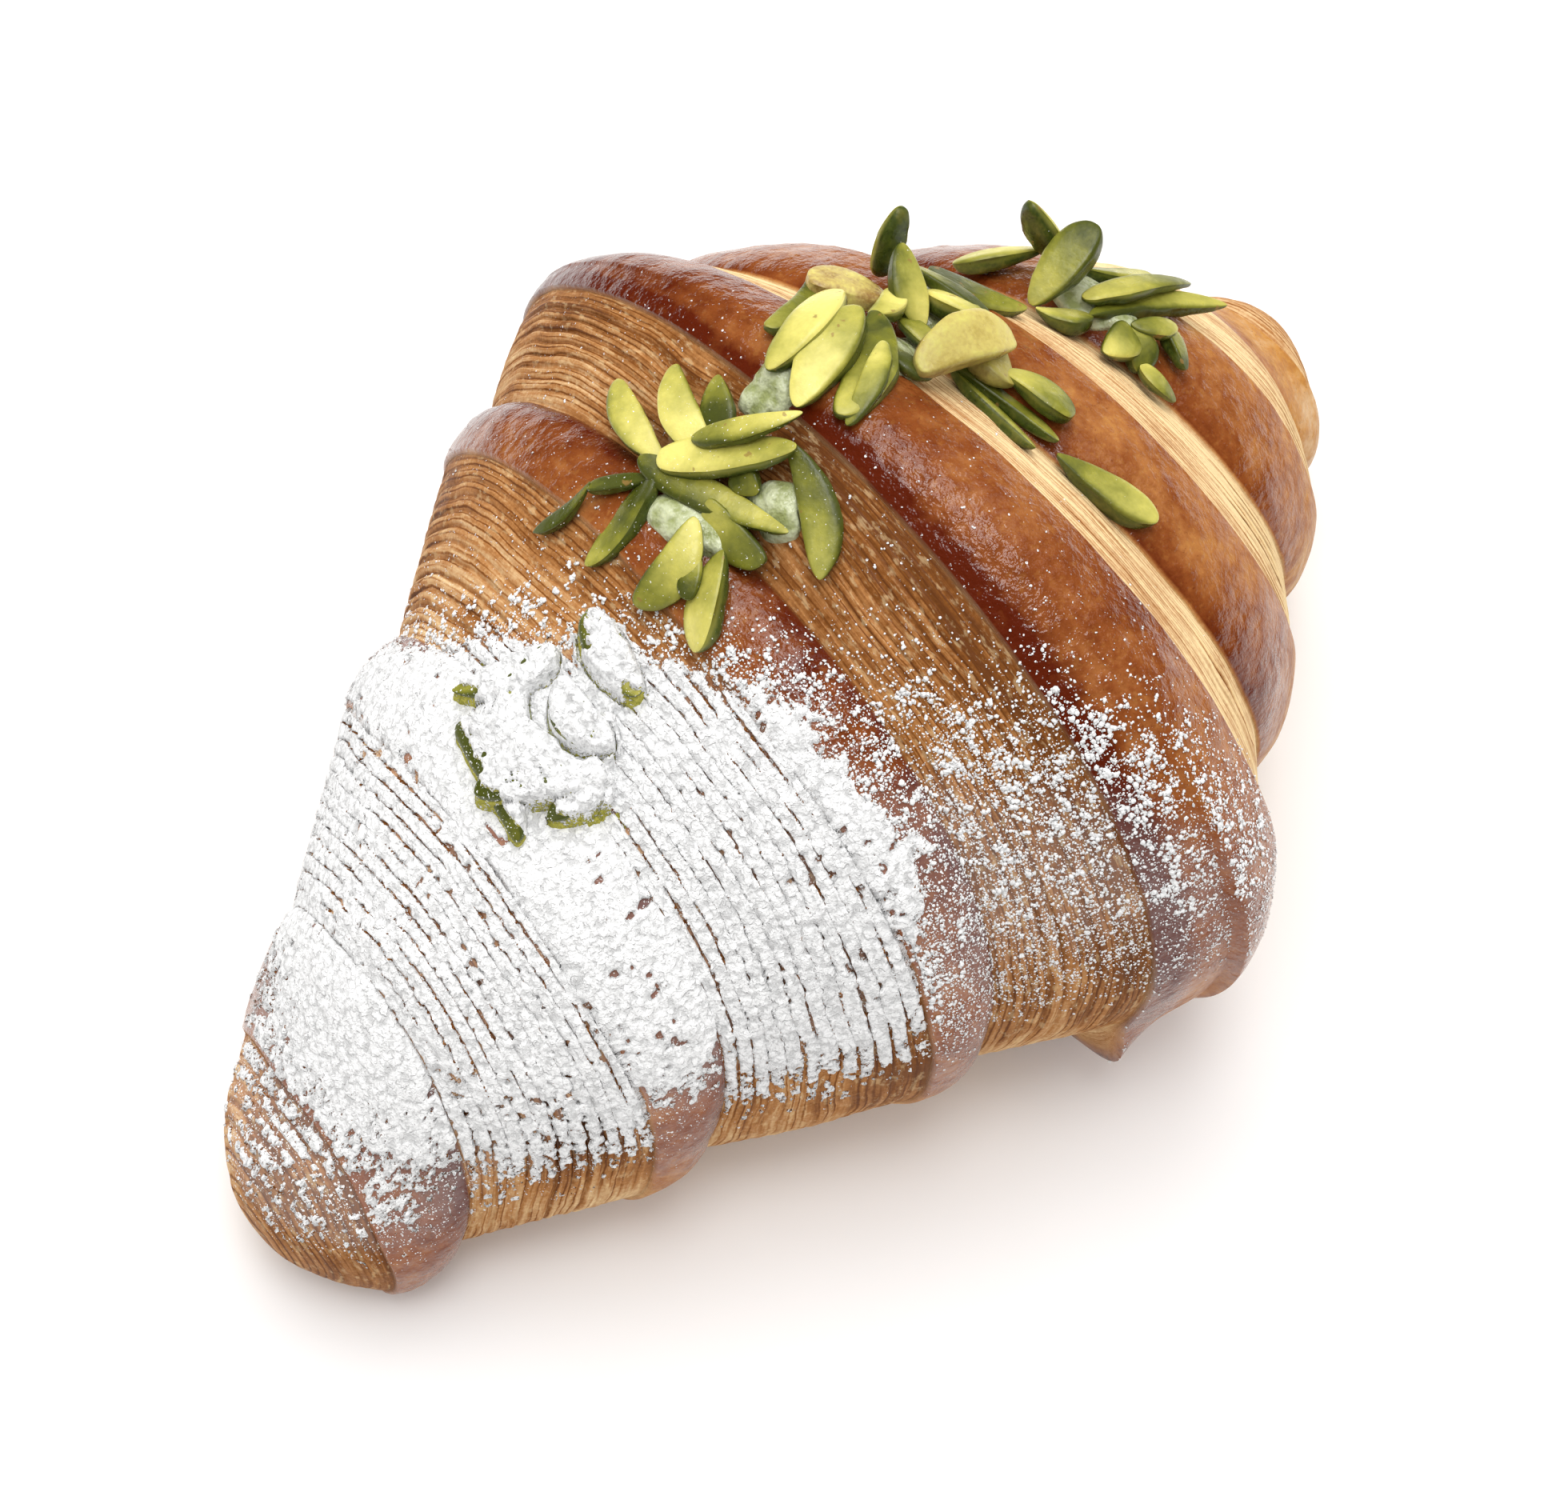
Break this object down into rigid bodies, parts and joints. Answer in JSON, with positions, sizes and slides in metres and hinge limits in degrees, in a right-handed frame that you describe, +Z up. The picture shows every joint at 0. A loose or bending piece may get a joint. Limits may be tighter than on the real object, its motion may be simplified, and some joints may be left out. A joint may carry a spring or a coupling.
{
  "type": "croissant",
  "caption": "Rolled croissant with glossy bands, layered cut faces and a flat base, topped with slivered pistachios on dabs of cream and powdered sugar at one end.",
  "frame": {"origin": "middle of the flat base, under the centre of the bounding box", "axes": "+X along the roll towards its shorter, bare end; -Y is the front with the torn corner of the crown band; +Z up"},
  "size_m": [0.1564, 0.1045, 0.0688],
  "materials": {
    "crust": "baked egg-washed dough: red-brown satin bands with paler layered cut faces",
    "pistachio": "raw pistachio slivers, yellow-green cut faces and darker green skin, satin",
    "cream": "pale green pistachio cream, wet gloss",
    "sugar": "powdered sugar, matt white and clumped"
  },
  "bodies": {
    "root": {"croissant": "crust", "topping_crown": "pistachio", "topping_right": "pistachio", "topping_sugared": "sugar", "sliver_lone": "pistachio"}
  },
  "joints": []
}
